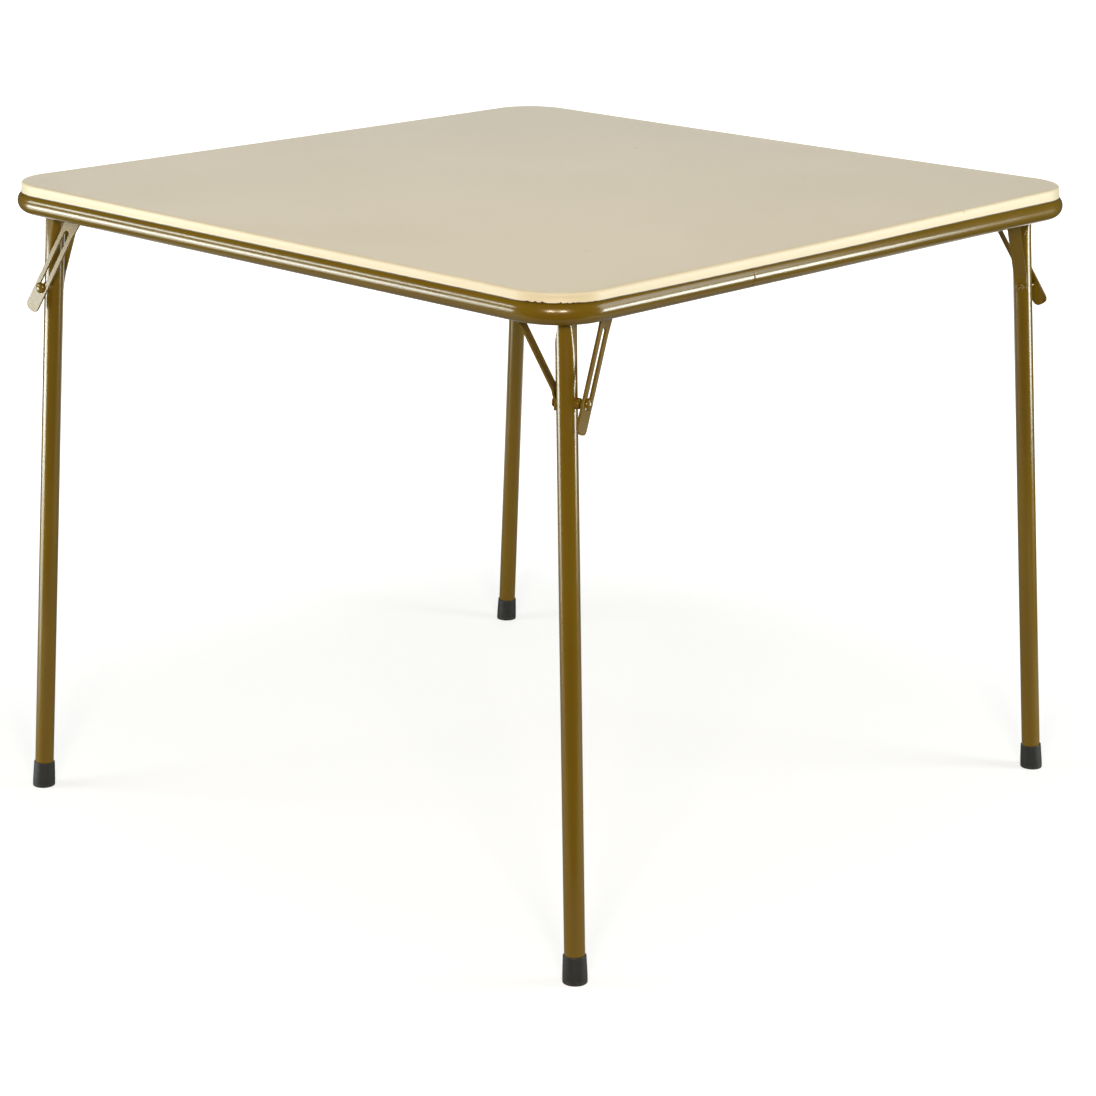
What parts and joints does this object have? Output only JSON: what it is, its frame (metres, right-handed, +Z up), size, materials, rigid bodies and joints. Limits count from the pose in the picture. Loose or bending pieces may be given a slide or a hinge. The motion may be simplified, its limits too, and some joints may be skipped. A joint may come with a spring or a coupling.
{
  "type": "folding card table",
  "caption": "Square folding table with a padded vinyl top on a bent tube rail and splayed tube legs that fold against the rails in a pinwheel on slotted lock braces.",
  "frame": {"origin": "on the floor under the middle of the top", "axes": "+Z up, +X and +Y along the rails; the front leg is at the -X -Y corner and folds towards +X"},
  "size_m": [0.8936, 0.8835, 0.703],
  "materials": {
    "frame_paint": "glossy bronze-gold enamel",
    "bare_steel": "zinc plated",
    "vinyl": "embossed beige vinyl sheet",
    "foam": "open cell foam",
    "hardboard": "brown pressed board",
    "foot_rubber": "black moulded rubber"
  },
  "bodies": {
    "top_frame": {"rail_tube": "frame_paint", "rail_sleeve": "bare_steel", "panel_board": "hardboard", "panel_foam": "foam", "panel_cover": "vinyl", "bracket_front": "frame_paint", "bracket_screws_front": "bare_steel", "hinge_pin_front": "bare_steel", "brace_pin_front": "bare_steel", "bracket_right": "frame_paint", "bracket_screws_right": "bare_steel", "hinge_pin_right": "bare_steel", "brace_pin_right": "bare_steel", "bracket_back": "frame_paint", "bracket_screws_back": "bare_steel", "hinge_pin_back": "bare_steel", "brace_pin_back": "bare_steel", "bracket_left": "frame_paint", "bracket_screws_left": "bare_steel", "hinge_pin_left": "bare_steel", "brace_pin_left": "bare_steel"},
    "leg_front": {"leg_tube_front": "frame_paint", "foot_tip_front": "foot_rubber", "strap_front": "frame_paint", "strap_rivet_front": "frame_paint", "rivet_collar_front": "frame_paint"},
    "brace_front": {"slotted_brace_front": "frame_paint"},
    "rivet_front": {"slide_rivet_front": "frame_paint"},
    "leg_right": {"leg_tube_right": "frame_paint", "foot_tip_right": "foot_rubber", "strap_right": "frame_paint", "strap_rivet_right": "frame_paint", "rivet_collar_right": "frame_paint"},
    "brace_right": {"slotted_brace_right": "frame_paint"},
    "rivet_right": {"slide_rivet_right": "frame_paint"},
    "leg_back": {"leg_tube_back": "frame_paint", "foot_tip_back": "foot_rubber", "strap_back": "frame_paint", "strap_rivet_back": "frame_paint", "rivet_collar_back": "frame_paint"},
    "brace_back": {"slotted_brace_back": "frame_paint"},
    "rivet_back": {"slide_rivet_back": "frame_paint"},
    "leg_left": {"leg_tube_left": "frame_paint", "foot_tip_left": "foot_rubber", "strap_left": "frame_paint", "strap_rivet_left": "frame_paint", "rivet_collar_left": "frame_paint"},
    "brace_left": {"slotted_brace_left": "frame_paint"},
    "rivet_left": {"slide_rivet_left": "frame_paint"}
  },
  "joints": [
    {"name": "leg_fold_front", "type": "hinge", "parent": "top_frame", "child": "leg_front", "pos_m": [-0.3741, -0.3852, 0.68], "axis": [0.2125, -0.9747, 0.0698], "range_deg": [0, 92.19]},
    {"name": "brace_turn_front", "type": "hinge", "parent": "top_frame", "child": "brace_front", "pos_m": [-0.32206, -0.39387, 0.68137], "axis": [0.2125, -0.9747, 0.0698], "range_deg": [0, 119.88]},
    {"name": "rivet_slide_front", "type": "slide", "parent": "brace_front", "child": "rivet_front", "axis": [0.4737, 0.1652, 0.8651], "range_m": [0, 0.06295]},
    {"name": "leg_fold_right", "type": "hinge", "parent": "top_frame", "child": "leg_right", "pos_m": [0.3893, -0.3753, 0.68], "axis": [0.9747, 0.2125, 0.0698], "range_deg": [0, 93.24]},
    {"name": "brace_turn_right", "type": "hinge", "parent": "top_frame", "child": "brace_right", "pos_m": [0.39797, -0.32326, 0.68137], "axis": [0.9747, 0.2125, 0.0698], "range_deg": [0, 120.68]},
    {"name": "rivet_slide_right", "type": "slide", "parent": "brace_right", "child": "rivet_right", "axis": [-0.1673, 0.4856, 0.8581], "range_m": [0, 0.06372]},
    {"name": "leg_fold_back", "type": "hinge", "parent": "top_frame", "child": "leg_back", "pos_m": [0.3746, 0.389, 0.68], "axis": [-0.2125, 0.9747, 0.0698], "range_deg": [0, 92.28]},
    {"name": "brace_turn_back", "type": "hinge", "parent": "top_frame", "child": "brace_back", "pos_m": [0.32256, 0.39766, 0.68137], "axis": [-0.2125, 0.9747, 0.0698], "range_deg": [0, 119.95]},
    {"name": "rivet_slide_back", "type": "slide", "parent": "brace_back", "child": "rivet_back", "axis": [-0.4747, -0.1654, 0.8645], "range_m": [0, 0.06301]},
    {"name": "leg_fold_left", "type": "hinge", "parent": "top_frame", "child": "leg_left", "pos_m": [-0.3916, 0.3737, 0.68], "axis": [-0.9747, -0.2125, 0.0698], "range_deg": [0, 91.38]},
    {"name": "brace_turn_left", "type": "hinge", "parent": "top_frame", "child": "brace_left", "pos_m": [-0.40026, 0.32166, 0.68137], "axis": [-0.9747, -0.2125, 0.0698], "range_deg": [0, 119.25]},
    {"name": "rivet_slide_left", "type": "slide", "parent": "brace_left", "child": "rivet_left", "axis": [0.1635, -0.4643, 0.8705], "range_m": [0, 0.06234]}
  ],
  "couplings": [
    {"joint": "brace_turn_front", "follows": "leg_fold_front", "ratio": 1.3002},
    {"joint": "rivet_slide_front", "follows": "leg_fold_front", "m_per_rad": 0.039113},
    {"joint": "brace_turn_right", "follows": "leg_fold_right", "ratio": 1.2942},
    {"joint": "rivet_slide_right", "follows": "leg_fold_right", "m_per_rad": 0.039149},
    {"joint": "brace_turn_back", "follows": "leg_fold_back", "ratio": 1.2997},
    {"joint": "rivet_slide_back", "follows": "leg_fold_back", "m_per_rad": 0.039116},
    {"joint": "brace_turn_left", "follows": "leg_fold_left", "ratio": 1.3049},
    {"joint": "rivet_slide_left", "follows": "leg_fold_left", "m_per_rad": 0.039081}
  ]
}
